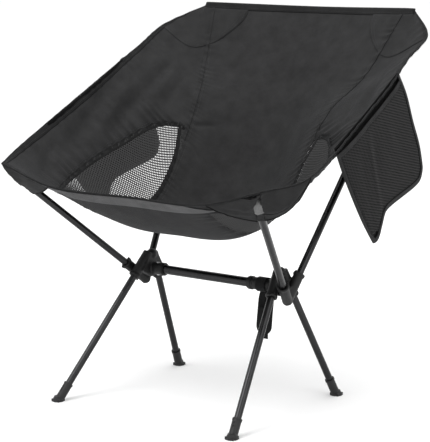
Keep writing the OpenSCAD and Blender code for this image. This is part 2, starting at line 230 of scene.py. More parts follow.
def sling_normal(u, v):
    """The smooth surface's normal, which points to the sitter."""
    h = 0.002
    a, b = np.clip(u, h - 1, 1 - h), np.clip(v, h, 1 - h)
    n = np.cross(sling_base(a + h, b) - sling_base(a - h, b),
                 sling_base(a, b + h) - sling_base(a, b - h))
    return unit(n)


def sling(u, v, height=0.0):
    """Points of the sling's cloth, at a height above it on the sitter's side."""
    u, v, height = (np.ravel(x).astype(float) for x in np.broadcast_arrays(u, v, height))
    return sling_base(u, v) + sling_normal(u, v) * (relief(u, v) + height)[:, None]


def window_edge(v):
    """u of a window's curved edge, which meets the seam at both ends."""
    k = np.clip((np.asarray(v, float) - WINDOW_V) / WINDOW_HALF_V, -1, 1)
    return SEAM_U + WINDOW_U * np.sqrt(1 - k * k)


# --- Mesh helpers ---
def mesh_object(name, points, faces, material, uv=None):
    mesh = bpy.data.meshes.new(name)
    faces = faces.tolist() if isinstance(faces, np.ndarray) else faces
    mesh.from_pydata(np.asarray(points).tolist(), [], faces)
    if uv is not None:
        layer = mesh.uv_layers.new(name="cloth")
        loops = np.zeros(len(mesh.loops), int)
        mesh.loops.foreach_get("vertex_index", loops)
        layer.data.foreach_set("uv", np.asarray(uv, float)[loops].ravel())
    mesh.polygons.foreach_set("use_smooth", np.ones(len(mesh.polygons), bool))
    mesh.materials.append(material)
    mesh.validate()
    obj = bpy.data.objects.new(name, mesh)
    bpy.context.scene.collection.objects.link(obj)
    return obj


def grid_faces(nu, nv, closed_u=False, closed_v=False):
    """Quads of a grid of points, nu + 1 by nv + 1 unless it is closed that way."""
    row = nu if closed_u else nu + 1
    rows = nv if closed_v else nv + 1
    i, j = np.meshgrid(np.arange(nu), np.arange(nv))
    i, j = i.ravel(), j.ravel()
    i2, j2 = (i + 1) % row if closed_u else i + 1, (j + 1) % rows if closed_v else j + 1
    return np.stack([j * row + i, j * row + i2, j2 * row + i2, j2 * row + i], axis=1)


def band_faces(corners, steps):
    """Faces of a band with a closed section of so many corners, with both ends closed."""
    ends = [list(range(corners)), [corners * steps + k for k in reversed(range(corners))]]
    return grid_faces(corners, steps, closed_u=True).tolist() + ends


def bake(obj):
    """Applies the object's modifiers."""
    bpy.context.view_layer.update()
    graph = bpy.context.evaluated_depsgraph_get()
    mesh = bpy.data.meshes.new_from_object(obj.evaluated_get(graph))
    obj.modifiers.clear()
    obj.data = mesh
    return obj


def thicken(obj, thickness, offset=-1.0):
    """Gives a sheet its thickness: behind it at offset -1, to both sides at 0."""
    mod = obj.modifiers.new("cloth", "SOLIDIFY")
    mod.thickness = thickness
    mod.offset = offset
    mod.use_even_offset = False
    return bake(obj)


def uv_grid(rows, columns):
    """Cloth coordinates of a grid of points, from those of its rows and of its columns."""
    return np.column_stack([np.repeat(rows, len(columns)), np.tile(columns, len(rows))])


def flip_faces(faces, sign):
    return faces if sign > 0 else faces[:, ::-1]


CLOTH_T = 0.7 * MM


def panel(name, low, high, v0, v1, nu, nv, material, sign=1, height=0.0):
    """A sheet of the sling between low(v) and high(v), which are counted from the middle line."""
    v, f = np.meshgrid(np.linspace(v0, v1, nv + 1), np.linspace(0, 1, nu + 1), indexing="ij")
    v, f = v.ravel(), f.ravel()
    u = sign * (low(v) + (high(v) - low(v)) * f)
    points = sling(u, v, height)
    uv = np.stack([u * HALF_WIDTH, v * LENGTH], axis=1)
    obj = mesh_object(name, points, flip_faces(grid_faces(nu, nv), sign), material, uv)
    return thicken(obj, CLOTH_T)


def ribbon(name, place, length, width, ring, steps, material):
    """A closed band: place(s, a, h) gives points s along it, a across it and h above it, and ring is its
    section as (a, h in mm) pairs."""
    s = np.linspace(0, 1, steps + 1)
    across = np.array(ring, float)
    points = place(np.repeat(s, len(ring)), np.tile(across[:, 0], steps + 1),
                   np.tile(across[:, 1], steps + 1) * MM)
    count = len(ring)
    uv = uv_grid(s * length, across[:, 0] * width)
    return fix_normals(mesh_object(name, points, band_faces(count, steps), material, uv))


def fix_normals(obj):
    """Turns every face of a closed mesh outward."""
    bm = bmesh.new()
    bm.from_mesh(obj.data)
    bmesh.ops.recalc_face_normals(bm, faces=bm.faces)
    bm.to_mesh(obj.data)
    bm.free()
    return obj


# Sections of a folded hem, of a flat tape and of a felled seam
HEM_RING = ((0, 0.4), (0.12, 1.0), (0.3, 1.25), (0.45, 1.0), (0.62, 1.25), (0.85, 1.3), (0.97, 0.9), (1, 0),
            (0.97, -0.9), (0.85, -1.3), (0.62, -1.25), (0.45, -1.0), (0.3, -1.25), (0.12, -1.0), (0, -0.4))
TAPE_RING = ((0, 0.1), (0.04, 0.6), (0.2, 0.75), (0.5, 0.65), (0.8, 0.75), (0.96, 0.6), (1, 0.1), (0.5, 0))
FELL_RING = ((0, 0.1), (0.03, 0.8), (0.3, 1.0), (0.5, 0.55), (0.75, 1.1), (0.97, 1.2), (1, 0.1), (0.5, 0))


class Stitches:
    """Rows of short raised stitches, gathered into one piece."""

    def __init__(self):
        self.points, self.faces = [], []

    def row(self, path, normals, pitch=4.2 * MM, long=2.9 * MM, thick=0.62 * MM):
        """Stitches along a dense path of points with the normals of the cloth under it."""
        steps = np.linalg.norm(np.diff(path, axis=0), axis=1)
        reach = np.concatenate([[0], np.cumsum(steps)])
        starts = np.arange(pitch / 2, reach[-1] - long, pitch)
        if not len(starts):
            return
        at = lambda x, values: np.stack([np.interp(x, reach, values[:, k]) for k in range(3)], axis=1)
        a, b = at(starts, path), at(starts + long, path)
        n = unit(at(starts + long / 2, normals))
        d = unit(b - a)
        side = np.cross(n, d) * thick / 2
        up = n * thick / 2
        middle = (a + b) / 2 + up * 0.6
        rings = []
        for centre, size in ((a, 0.45), (middle, 1.0), (b, 0.45)):
            rings += [centre + side * size, centre + up * size, centre - side * size, centre - up * size]
        block = np.stack(rings, axis=1)
        base = sum(len(p) for p in self.points)
        self.points.append(block.reshape(-1, 3))
        for k in range(len(starts)):
            o = base + 12 * k
            for ring in (0, 4):
                for j in range(4):
                    self.faces.append([o + ring + j, o + ring + (j + 1) % 4,
                                       o + ring + 4 + (j + 1) % 4, o + ring + 4 + j])
            self.faces.append([o + 3, o + 2, o + 1, o])
            self.faces.append([o + 8, o + 9, o + 10, o + 11])

    def on_sling(self, u, v, height):
        """A row along the sling through (u, v), on both faces of the cloth."""
        n = sling_normal(u, v)
        self.row(sling(u, v, height), n)
        self.row(sling(u, v, -CLOTH_T - max(height, 0)), -n)

    def build(self, name, material, body):
        obj = fix_normals(mesh_object(name, np.concatenate(self.points), np.array(self.faces), material))
        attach(obj, body)
        return obj


# --- Materials ---
def new_material(name, colour, roughness, **sockets):
    mat = bpy.data.materials.new(name)
    mat.use_nodes = True
    shader = mat.node_tree.nodes["Principled BSDF"]
    shader.inputs["Base Color"].default_value = (*colour, 1)
    shader.inputs["Roughness"].default_value = roughness
    for key, value in sockets.items():
        shader.inputs[key.replace("_", " ")].default_value = value
    return mat, mat.node_tree, shader


def node(tree, kind, inputs=None, **settings):
    made = tree.nodes.new(kind)
    for key, value in settings.items():
        setattr(made, key, value)
    for key, value in (inputs or {}).items():
        made.inputs[key].default_value = value
    return made


def link(tree, source, output, target, socket):
    tree.links.new(source.outputs[output], target.inputs[socket])


def shades(tree, factor, low, high, first=0.3, last=0.7):
    """Colour ramp between two colours, driven by a node's first output."""
    made = node(tree, "ShaderNodeValToRGB")
    made.color_ramp.elements[0].position, made.color_ramp.elements[0].color = first, (*low, 1)
    made.color_ramp.elements[1].position, made.color_ramp.elements[1].color = last, (*high, 1)
    tree.links.new(factor, made.inputs["Fac"])
    return made


def sine(tree, source, scale):
    """sin of a coordinate that repeats every 1/scale."""
    times = node(tree, "ShaderNodeMath", {1: 2 * math.pi * scale}, operation="MULTIPLY")
    tree.links.new(source, times.inputs[0])
    made = node(tree, "ShaderNodeMath", operation="SINE")
    tree.links.new(times.outputs[0], made.inputs[0])
    return made.outputs[0]


def noise(tree, place, scale, detail, roughness=0.5):
    """Noise in the object's own coordinates."""
    made = node(tree, "ShaderNodeTexNoise", {"Scale": scale, "Detail": detail, "Roughness": roughness})
    link(tree, place, "Object", made, "Vector")
    return made


def raise_surface(tree, shader, height, output, strength, distance):
    """Bump from a node's output."""
    made = node(tree, "ShaderNodeBump", {"Strength": strength, "Distance": distance})
    link(tree, height, output, made, "Height")
    link(tree, made, "Normal", shader, "Normal")


def cloth_material(name, colour, contrast=0.25, roughness=0.82, thread=0.55 * MM, ribs=False, sheen=0.02,
                   bump_strength=0.35):
    """Plain weave over the piece's own cloth coordinates, with uneven dye and a faint sheen."""
    mat, tree, shader = new_material(name, colour, roughness, Sheen_Weight=sheen, Sheen_Roughness=0.45,
                                     Specular_IOR_Level=0.12)
    shader.inputs["Sheen Tint"].default_value = (0.85, 0.88, 0.95, 1)
    place = node(tree, "ShaderNodeTexCoord")
    split = node(tree, "ShaderNodeSeparateXYZ")
    link(tree, place, "UV", split, 0)
    warp = sine(tree, split.outputs[0], 0.5 / thread)
    weft = sine(tree, split.outputs[1], (1 / 1.9e-3) if ribs else 0.5 / thread)
    weave = node(tree, "ShaderNodeMath", operation="ADD" if ribs else "MULTIPLY")
    tree.links.new(warp, weave.inputs[0])
    tree.links.new(weft, weave.inputs[1])
    mottled = noise(tree, place, 38.0, 4.0, 0.6)
    slub = noise(tree, place, 900.0, 2.0, 0.6)
    mixed = node(tree, "ShaderNodeMath", {1: 0.45}, operation="MULTIPLY_ADD")
    link(tree, slub, "Fac", mixed, 0)
    link(tree, mottled, "Fac", mixed, 2)
    low = [c * (1 - contrast) for c in colour]
    high = [c * (1 + contrast) for c in colour]
    ramp_node = shades(tree, mixed.outputs[0], low, high, 0.5, 0.95)
    link(tree, ramp_node, "Color", shader, "Base Color")
    raised = node(tree, "ShaderNodeMath", {1: 0.5}, operation="MULTIPLY_ADD")
    link(tree, weave, 0, raised, 0)
    link(tree, slub, "Fac", raised, 2)
    raise_surface(tree, shader, raised, 0, bump_strength, 0.0004)
    return mat


def plastic_material(name, colour, roughness=0.5, grain=1400.0):
    """Moulded nylon with a fine spark-eroded grain and slightly uneven gloss."""
    mat, tree, shader = new_material(name, colour, roughness, Specular_IOR_Level=0.3)
    place = node(tree, "ShaderNodeTexCoord")
    fine = noise(tree, place, grain, 3.0)
    broad = noise(tree, place, 60.0, 5.0, 0.65)
    tint = shades(tree, broad.outputs["Fac"], [c * 0.8 for c in colour], [c * 1.3 for c in colour])
    link(tree, tint, "Color", shader, "Base Color")
    gloss = node(tree, "ShaderNodeMapRange", {"To Min": roughness - 0.1, "To Max": roughness + 0.14})
    link(tree, broad, "Fac", gloss, "Value")
    link(tree, gloss, "Result", shader, "Roughness")
    raise_surface(tree, shader, fine, "Fac", 0.25, 0.0002)
    return mat


def metal_material(name, colour, roughness, metallic=1.0, scuffs=0.5):
    """Drawn and anodised tube: satin, with faint handling marks."""
    mat, tree, shader = new_material(name, colour, roughness, Metallic=metallic)
    place = node(tree, "ShaderNodeTexCoord")
    cloud = noise(tree, place, 45.0, 6.0, 0.7)
    fine = noise(tree, place, 2200.0, 2.0)
    tint = shades(tree, cloud.outputs["Fac"], [c * 0.86 for c in colour], [c * 1.14 for c in colour])
    link(tree, tint, "Color", shader, "Base Color")
    gloss = node(tree, "ShaderNodeMapRange",
                 {"From Min": 0.35, "From Max": 0.75, "To Min": roughness - 0.05,
                  "To Max": roughness + 0.16 * scuffs})
    link(tree, cloud, "Fac", gloss, "Value")
    link(tree, gloss, "Result", shader, "Roughness")
    raise_surface(tree, shader, fine, "Fac", 0.12, 0.0001)
    return mat


def thread_material(name, colour):
    """Twisted polyester thread."""
    mat, tree, shader = new_material(name, colour, 0.7, Specular_IOR_Level=0.2)
    place = node(tree, "ShaderNodeTexCoord")
    twist = node(tree, "ShaderNodeTexWave", {"Scale": 420.0, "Distortion": 1.5, "Detail": 1.0},
                 bands_direction="DIAGONAL")
    link(tree, place, "Object", twist, "Vector")
    tint = shades(tree, twist.outputs["Fac"], [c * 0.7 for c in colour], [c * 1.25 for c in colour])
    link(tree, tint, "Color", shader, "Base Color")
    raise_surface(tree, shader, twist, "Fac", 0.3, 0.0001)
    return mat


CLOTH = cloth_material("sling_cloth", (0.0172, 0.0172, 0.0175))
HEM = cloth_material("hem_cloth", (0.009, 0.009, 0.0092), ribs=True, bump_strength=0.6)
# Painted highlight: lighter cloth for a strip along the front hem, where the hem catches the light
FRONT_HEM_PAINTED_HIGHLIGHT = cloth_material("front_hem_painted_highlight", (0.07, 0.07, 0.071), ribs=True, bump_strength=0.5)
# Painted highlight: light grey cloth for the near left seat pole's cap only, standing in for the light that
# cap catches
CAP_PAINTED_HIGHLIGHT = cloth_material("pole_cap_painted_highlight", (0.13, 0.13, 0.13), contrast=0.3)
# Painted shade: near-black cloth standing in for shade, on the pocket backs, the piping by the pocket
# bindings and the lines along the corner wraps
PAINTED_SHADE_BLACK = cloth_material("painted_shade_black", (0.003, 0.003, 0.0031), contrast=0.3, sheen=0.0)
BAND_CLOTH = cloth_material("mouth_band_cloth", (0.019, 0.019, 0.0193), ribs=True, bump_strength=0.6)
BINDING_CLOTH = cloth_material("pocket_binding", (0.024, 0.024, 0.0243), ribs=True, bump_strength=0.6)
WEBBING = cloth_material("strap_webbing", (0.007, 0.007, 0.0072), ribs=True, bump_strength=0.8)
NET = thread_material("net_thread", (0.024, 0.024, 0.0243))
POCKET_NET = thread_material("pocket_net_thread", (0.0105, 0.0105, 0.0107))
STITCH = thread_material("stitch_thread", (0.032, 0.032, 0.033))
HUB = plastic_material("hub_plastic", (0.005, 0.005, 0.0052))
FOOT = plastic_material("foot_plastic", (0.012, 0.012, 0.0125), roughness=0.5)
TUBE = metal_material("tube_aluminium", (0.035, 0.035, 0.036), 0.3)
STEEL = metal_material("rivet_steel", (0.45, 0.45, 0.46), 0.32)
FERRULE = metal_material("ferrule_aluminium", (0.6, 0.6, 0.61), 0.3)
CORD = cloth_material("cord_elastic", (0.12, 0.12, 0.12), ribs=True)

SLOT_MATERIALS = {
    "tube_aluminium": TUBE, "hub_plastic": HUB, "foot_plastic": FOOT, "rivet_steel": STEEL,
    "ferrule_aluminium": FERRULE, "cord_elastic": CORD, "sling_cloth": CLOTH, "hem_cloth": HEM,
    "mesh_net": NET, "strap_webbing": WEBBING,
}
for part in frame["record"]["subparts"]:
    shown = frame["nodes"][part["node"]]
    for material_slot in shown.material_slots:
        material_slot.link = "OBJECT"
        material_slot.material = SLOT_MATERIALS[part["material_slot"]]


def finish_piece(obj, body, slot, *replaced):
    """Says which body a piece rides on and the CAD nodes that it stands for, which it hides; slot is not
    used.
    """
    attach(obj, body)
    if replaced:
        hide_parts(*replaced)
    return obj


def constant(value):
    return lambda v: np.full(len(v), value)


center = panel("sling_center_panel", constant(-SEAM_U - 0.008), constant(SEAM_U + 0.008), FRONT_HEM_V - 0.006,
               TOP_HEM_V + 0.006, 110, 300, CLOTH)
finish_piece(center, "sling", "sling_cloth", "center_panel")

for name, sign in SIDES:
    side_panel = panel(f"sling_side_panel_{name}", window_edge, constant(HEM_U + 0.01), FRONT_HEM_V - 0.006,
                       TOP_HEM_V + 0.006, 64, 260, CLOTH, sign)
    finish_piece(side_panel, "sling", "sling_cloth", f"side_panel_{name}")


def net_sheet(name, points, cells, keep, solid, thickness, material):
    """Net with a square hole in each kept quad of a grid of points, cells[0] by cells[1]; solid is the share
    of the pitch that the threads take up."""
    faces = grid_faces(*cells)[keep]
    used, index = np.unique(faces, return_inverse=True)
    corners = points[used]
    faces = index.reshape(faces.shape)
    quads = corners[faces]
    holes = quads.mean(axis=1, keepdims=True) * solid + quads * (1 - solid)
    inner = len(corners) + np.arange(len(faces) * 4).reshape(-1, 4)
    rims = [np.stack([faces[:, k], faces[:, (k + 1) % 4], inner[:, (k + 1) % 4], inner[:, k]], axis=1)
            for k in range(4)]
    obj = mesh_object(name, np.vstack([corners, holes.reshape(-1, 3)]), np.vstack(rims), material)
    return thicken(obj, thickness, 0)


def turned_grid(cells, pitch, angle):
    """x and y of a square grid's points about its middle, turned by an angle."""
    x, y = np.meshgrid(np.arange(cells + 1) - cells / 2, np.arange(cells + 1) - cells / 2)
    x, y = x.ravel() * pitch, y.ravel() * pitch
    return x * math.cos(angle) - y * math.sin(angle), x * math.sin(angle) + y * math.cos(angle)


NET_T = 0.8 * MM
NET_PITCH = 4.3
NET_SOLID = 0.47
NET_TURN = math.radians(-30)
# Width of cloth per unit of u between the seam and the edge, beside the windows
SIDE_WIDTH = 460.0

def window_net(name, sign):
    """Net behind a window, with its threads at an angle to the seam."""
    cells = 110
    x, y = turned_grid(cells, NET_PITCH, NET_TURN)
    u = SEAM_U + WINDOW_U / 2 + x / SIDE_WIDTH
    v = WINDOW_V + y / (LENGTH / MM)
    quads = grid_faces(cells, cells)
    middle_u, middle_v = u[quads].mean(axis=1), v[quads].mean(axis=1)
    keep = ((middle_u < window_edge(middle_v) + 0.006) & (middle_u > SEAM_U - 0.004)
            & (np.abs(middle_v - WINDOW_V) < WINDOW_HALF_V))
    points = np.zeros((len(u), 3))
    near = ((np.abs(v - WINDOW_V) < WINDOW_HALF_V + 0.02) & (u > SEAM_U - 0.03)
            & (u < SEAM_U + WINDOW_U + 0.03))
    points[near] = sling(sign * u[near], v[near], -0.3 * MM)
    net = net_sheet(f"sling_mesh_window_{name}", points, (cells, cells), keep, NET_SOLID, NET_T, NET)
    finish_piece(net, "sling", "mesh_net", f"mesh_window_{name}")


def window_binding(name, sign):
    """Binding over the curved edge of a window."""
    def bind_place(s, a, h):
        t = math.pi * (0.012 + 0.976 * s)
        vv = WINDOW_V - WINDOW_HALF_V * np.cos(t)
        uu = SEAM_U + WINDOW_U * np.sin(t)
        # a goes outward across the edge, in metres of cloth
        du, dv = np.cos(t) * WINDOW_U * HALF_WIDTH * 1.3, np.sin(t) * WINDOW_HALF_V * LENGTH
        across = unit(np.stack([dv, -du], axis=1))
        shift = (a - 0.5) * 9.0 * MM
        uu = uu + across[:, 0] * shift / (HALF_WIDTH * 1.3)
        vv = vv + across[:, 1] * shift / LENGTH
        return sling(sign * uu, vv, h)

    binding = ribbon(f"sling_window_binding_{name}", bind_place, 0.6, 0.009,
                     [(a, h if h > 0 else h - 0.7) for a, h in TAPE_RING[:7]] + [(0.9, -1.2), (0.1, -1.2)],
                     180, HEM)
    finish_piece(binding, "sling", "hem_cloth")


def seam_tape(name, sign):
    """Tape along a window's seam, which leaves the seam a little at the top."""
    tape_v0, tape_v1 = FRONT_HEM_V + 0.003, WINDOW_V + WINDOW_HALF_V + 0.005

    def tape_place(s, a, h):
        v = tape_v0 + (tape_v1 - tape_v0) * s
        inner = SEAM_U - 0.003 + TAPE_DRIFT * ramp(v, 0.53, 0.635)
        return sling(sign * (inner + TAPE_U * a), v, h)

    tape = ribbon(f"sling_seam_tape_{name}", tape_place, 0.45, 0.011, TAPE_RING, 200, HEM)
    finish_piece(tape, "sling", "hem_cloth", f"seam_tape_{name}")


def felled_seam(name, sign):
    """Felled seam above a window, which climbs over the corner patch."""
    fell_v0, fell_v1 = WINDOW_V + WINDOW_HALF_V - 0.03, TOP_HEM_V + 0.002

    def fell_place(s, a, h):
        v = fell_v0 + (fell_v1 - fell_v0) * s
        return sling(sign * (SEAM_U - 0.010 + 0.026 * a), v, h + PATCH_HEIGHT * ramp(v, 0.885, 0.91))

    fell = ribbon(f"sling_felled_seam_{name}", fell_place, 0.3, 0.008,
                  FELL_RING, 160, CLOTH)
    finish_piece(fell, "sling", "sling_cloth")


def side_hem(name, sign):
    """Folded hem down a side of the sling."""
    def hem_place(s, a, h):
        return sling(sign * (HEM_U + (1 - HEM_U) * a), 0.004 + 0.992 * s, h)

    hem = ribbon(f"sling_side_hem_{name}", hem_place, 0.6, 0.009, HEM_RING, 260, HEM)
    finish_piece(hem, "sling", "hem_cloth", f"side_hem_{name}")


def corner_patch(name, sign):
    """Reinforcement patch at a top corner, with its rounded inner edge."""
    def patch_low(v):
        k = (TOP_HEM_V - v) / PATCH_V
        return HEM_U - 0.002 - PATCH_U * np.maximum(0, 1 - k * k)

    patch = panel(f"sling_corner_patch_{name}", patch_low, constant(HEM_U + 0.004),
                  TOP_HEM_V - PATCH_V * 0.998, TOP_HEM_V + 0.002, 40, 50, CLOTH, sign, PATCH_HEIGHT)
    finish_piece(patch, "sling", "sling_cloth", f"top_corner_patch_{name}")


for name, sign in SIDES:
    for make in (window_net, window_binding, seam_tape, felled_seam, side_hem, corner_patch):
        make(name, sign)


def front_place(s, a, h):
    return sling(2 * s - 1, FRONT_HEM_V * a, h)


def top_place(s, a, h):
    return sling(2 * s - 1, 1 - (1 - TOP_HEM_V) * a, h)


FLIPPED_HEM_RING = [(1 - a, h) for a, h in HEM_RING]
front_hem = ribbon("sling_front_hem", front_place, 0.55, 0.02, FLIPPED_HEM_RING, 240, HEM)
finish_piece(front_hem, "sling", "hem_cloth", "front_hem")
top_hem = ribbon("sling_top_hem", top_place, 0.5, 0.011, FLIPPED_HEM_RING, 220, HEM)
finish_piece(top_hem, "sling", "hem_cloth", "top_hem")

# Painted highlight: a lighter strip over the outside of the front hem, where the hem catches the light; it
# tapers to a point short of the left pole pocket
HIGHLIGHT_U0, HIGHLIGHT_U1 = -0.93, 0.57
HIGHLIGHT_V = 0.031
HIGHLIGHT_TAPER_U = 0.38


def painted_highlight_strip():
    u, f = np.meshgrid(np.linspace(HIGHLIGHT_U0, HIGHLIGHT_U1, 161), np.linspace(0, 1, 9), indexing="ij")
    u, f = u.ravel(), f.ravel()
    upper = 0.0045 + 0.96 * HIGHLIGHT_V * np.clip((u - HIGHLIGHT_TAPER_U) / (HIGHLIGHT_U1 - HIGHLIGHT_TAPER_U), 0, 1)
    lower = 0.0085 + HIGHLIGHT_V * ramp(u, HIGHLIGHT_U0 - 0.02, -0.35)
    v = upper + f * (lower - upper)
    highlight_strip = mesh_object("sling_front_hem_painted_highlight", sling(u, v, -2.2 * MM), grid_faces(8, 160), FRONT_HEM_PAINTED_HIGHLIGHT,
                         np.column_stack([u * HALF_WIDTH, v * LENGTH]))
    finish_piece(thicken(highlight_strip, 0.6 * MM, 0), "sling", "hem_cloth")


painted_highlight_strip()

# Sewing: double rows down the seams, along the hems, round the windows and the patches
DENSE = np.linspace(0, 1, 900)
stitches = Stitches()
for name, sign in SIDES:
    for du in (-0.012, -0.026):
        v = FRONT_HEM_V + (TOP_HEM_V - FRONT_HEM_V) * DENSE
        stitches.on_sling(np.full(len(v), sign * (SEAM_U + du)), v, 0.05 * MM)
    for a in (0.3, 0.78):
        v = 0.01 + 0.98 * DENSE
        stitches.on_sling(np.full(len(v), sign * (HEM_U + (1 - HEM_U) * a)), v, 1.2 * MM)
    for shift in (0.02, 0.035):
        v = WINDOW_V - WINDOW_HALF_V * np.cos(math.pi * (0.02 + 0.96 * DENSE))
        stitches.on_sling(sign * (window_edge(v) + shift * 0.6), v, 1.0 * MM)
    k = np.linspace(0.02, 0.99, 500)
    for inset in (0.012, 0.030):
        v = TOP_HEM_V - PATCH_V * (1 - inset) * k
        u = HEM_U - 0.002 - (PATCH_U - inset) * np.maximum(0, 1 - k * k)
        stitches.row(sling(sign * u, v, 0.95 * MM), sling_normal(sign * u, v))
for a in (0.3, 0.78):
    u = np.linspace(-0.985, 0.985, 900)
    stitches.on_sling(u, np.full(len(u), 1 - (1 - TOP_HEM_V) * (1 - a)), 1.2 * MM)
    stitches.on_sling(u, np.full(len(u), FRONT_HEM_V * (1 - a)), 1.2 * MM)
stitches.build("sling_stitching", STITCH, "sling")


# --- Pole pockets: sewn sleeves with a gathered, closed end ---
def pole_frame(end, length):
    """Axis frame of a left-hand pole: its point at a length from the apex and three unit vectors."""
    axis = unit(end - POLE_APEX)
    side = unit(np.cross(axis, [0, 0, 1]))
    up = np.cross(side, axis)
    origin = POLE_APEX - [0, BAR_FORWARD, 0] + axis * length
    return origin * MM, axis, side, up


# Lengths below the tip's centre, ends beyond it and radii, of the sleeves and of the caps sewn over them
SLEEVE_L, SLEEVE_END, SLEEVE_R = 40 * MM, 8.6 * MM, 8.8 * MM
CAP_L, CAP_END, CAP_R = 17 * MM, 10.2 * MM, 10.8 * MM
FACETS = 5


def sleeve(name, end, length, sign, start, finish, radius, mouth, material, seed):
    """A stitched tube of cloth round a pole's end, between two distances from the tip's centre."""
    origin, axis, side, up = pole_frame(end, length)
    rings, ring_points = 40, 48
    turns = np.linspace(0, 2 * math.pi, ring_points, endpoint=False)
    tt, aa = np.meshgrid(np.linspace(0, 1, rings + 1), turns, indexing="ij")
    reach = start + tt * (finish - start)
    cap = np.clip(reach / finish, 0, 1) if finish > 0 else np.zeros_like(tt)
    size = radius * np.sqrt(np.maximum(1 - cap ** 2.4, 0.0004))
    crumple = 0.8 * MM * wave(tt * 5 + np.sin(aa) * 1.2 + seed, 31) + 0.5 * MM * wave(
        tt * 12 + np.cos(aa) * 1.6 + seed, 32)
    turn = np.mod(aa + 0.7 * tt + seed, 2 * math.pi / FACETS) - math.pi / FACETS
    size = size * (0.9 * np.cos(math.pi / FACETS) / np.cos(turn) + 0.13)
    size = size + crumple * (1 - cap) * ramp(tt, 0, 0.15) + mouth * bump(tt, 0.12)
    flat = 1 - 0.14 * np.abs(np.sin(aa)) ** 3
    points = (origin + axis * reach[..., None]
              + side * (size * np.cos(aa) * 1.05)[..., None] + up * (size * flat * np.sin(aa))[..., None])
    points = points.reshape(-1, 3)
    points[:, 0] *= sign
    uv = uv_grid(tt[:, 0] * 0.05, turns * 0.0095)
    faces = grid_faces(ring_points, rings, closed_u=True)
    obj = mesh_object(name, points, flip_faces(faces, -sign), material, uv)
    return thicken(obj, 0.8 * MM, -1)


def sleeve_web(name, end, length, sign, start, finish, radius):
    """Cloth on both sides of a back pole's sleeve, down to the sling that it is sewn to."""
    origin, axis, _, _ = pole_frame(end, length)
    u, v = np.meshgrid(np.linspace(0.5, 1, 90), np.linspace(0.8, 1, 90))
    cloth = sling(sign * u, v, -1.5 * MM)
    cloth[:, 0] *= sign
    closest = lambda p: cloth[((cloth[None] - p[:, None]) ** 2).sum(axis=2).argmin(axis=1)]
    steps, across = 30, 7
    t = np.linspace(0, 1, steps + 1)
    reach = start + t * (finish - start)
    middle = origin + axis * reach[:, None]
    near = smoothed(closest(middle), 6)
    toward = near - middle
    toward = unit(toward - axis * (toward @ axis)[:, None])
    wide = np.cross(axis, toward)
    size = radius * np.sqrt(np.maximum(1 - np.clip(reach / (finish * 1.6), 0, 1) ** 2.4, 0.05))[:, None]
    rows = []
    for turn in (1, -1):
        edge = middle + wide * turn * size * 0.97
        target = smoothed(closest(near + wide * turn * (size + 7 * MM)), 6)
        f = np.linspace(0, 1, across + 1)[None, :, None]
        bend = toward[:, None] * (f * (1 - f) * 5 * MM)
        strip = edge[:, None] * (1 - f) + target[:, None] * f + bend
        crumple = 0.9 * MM * wave(t * 7 + turn, 35)[:, None] * np.sin(math.pi * f[..., 0])
        rows.append((strip + wide[:, None] * turn * crumple[..., None]).reshape(-1, 3))
    points = np.vstack(rows)
    points[:, 0] *= sign
    faces = grid_faces(across, steps)
    faces = np.vstack([faces, faces[:, ::-1] + len(rows[0])])
    uv = np.tile(uv_grid(reach, np.arange(across + 1) * 2 * MM)[:, ::-1], (2, 1))
    obj = mesh_object(name, points, flip_faces(faces, sign), CLOTH, uv)
    return thicken(obj, 0.8 * MM, 0)


# Corner wraps run from the front hem and from the side hem onto the sleeve: the sling's fractions at
# both ends of each wrap's top edge
WRAPS = {"front": ((0.995, 0.004), (0.55, 0.006)), "side": ((0.997, 0.004), (0.997, 0.165))}
WRAP_FOOT = 8.6 * MM
WRAP_BINDING = 1.5 * MM
WRAP_SEAM = 1.2 * MM
WRAP_SEAM_RISE = 0.42


def corner_wrap(kind, side_name, end, length, sign, seed):
    """Cloth drawn from a hem over the sleeve of a seat pole; gives its grid of points."""
    origin, axis, _, _ = pole_frame(end, length)
    forward = unit(np.array([0, -1.0, 0]) + axis * axis[1])
    outward = np.cross(forward, axis)
    outward *= np.sign(outward[0])
    steps, across = 48, 14
    t = np.linspace(0, 1, steps + 1)
    f = np.linspace(0, 1, across + 1)[None, :, None]
    reach = (7 * MM - t * (SLEEVE_L + 7 * MM))[:, None]
    (start_u, start_v), (end_u, end_v) = WRAPS[kind]
    top = sling(sign * (start_u + (end_u - start_u) * t), start_v + (end_v - start_v) * t, -1.2 * MM)
    top[:, 0] *= sign
    if kind == "front":
        top[:, 2] -= (6.5 * MM if sign > 0 else 0) * bump(t - 0.16, 0.14)
        foot = origin + axis * reach + forward * WRAP_FOOT
        sag = np.tile(np.array([0, 0, -4 * MM]), (steps + 1, 1))
    else:
        foot = origin + axis * reach + outward * WRAP_FOOT
        sag = ramp(t, 0.05, 0.6)[:, None] * (outward * 9 * MM + np.array([0, 0, -7 * MM]))
    surface = top[:, None] * (1 - f) + foot[:, None] * f + (f * (1 - f) * 4) * sag[:, None]
    way = unit(np.cross(surface[:, 1:2] - surface[:, :1], axis))
    crumple = 1.1 * MM * wave(t[:, None] * 4 + f[..., 0] * 2 + seed, 36) + 0.8 * MM * wave(
        t[:, None] * 2 + f[..., 0] * 7 + seed, 37)
    crumple = crumple * np.sin(math.pi * f[..., 0]) ** 0.7
    surface = surface + way * crumple[..., None]
    points = surface.reshape(-1, 3) * [sign, 1, 1]
    uv = uv_grid(t * 0.09, np.arange(across + 1) * 2.5 * MM)[:, ::-1]
    wrap = mesh_object(f"{kind}_corner_wrap_{side_name}", points, grid_faces(across, steps), CLOTH, uv)
    finish_piece(thicken(wrap, 0.8 * MM, 0), "sling", "hem_cloth")
    return points.reshape(steps + 1, across + 1, 3)


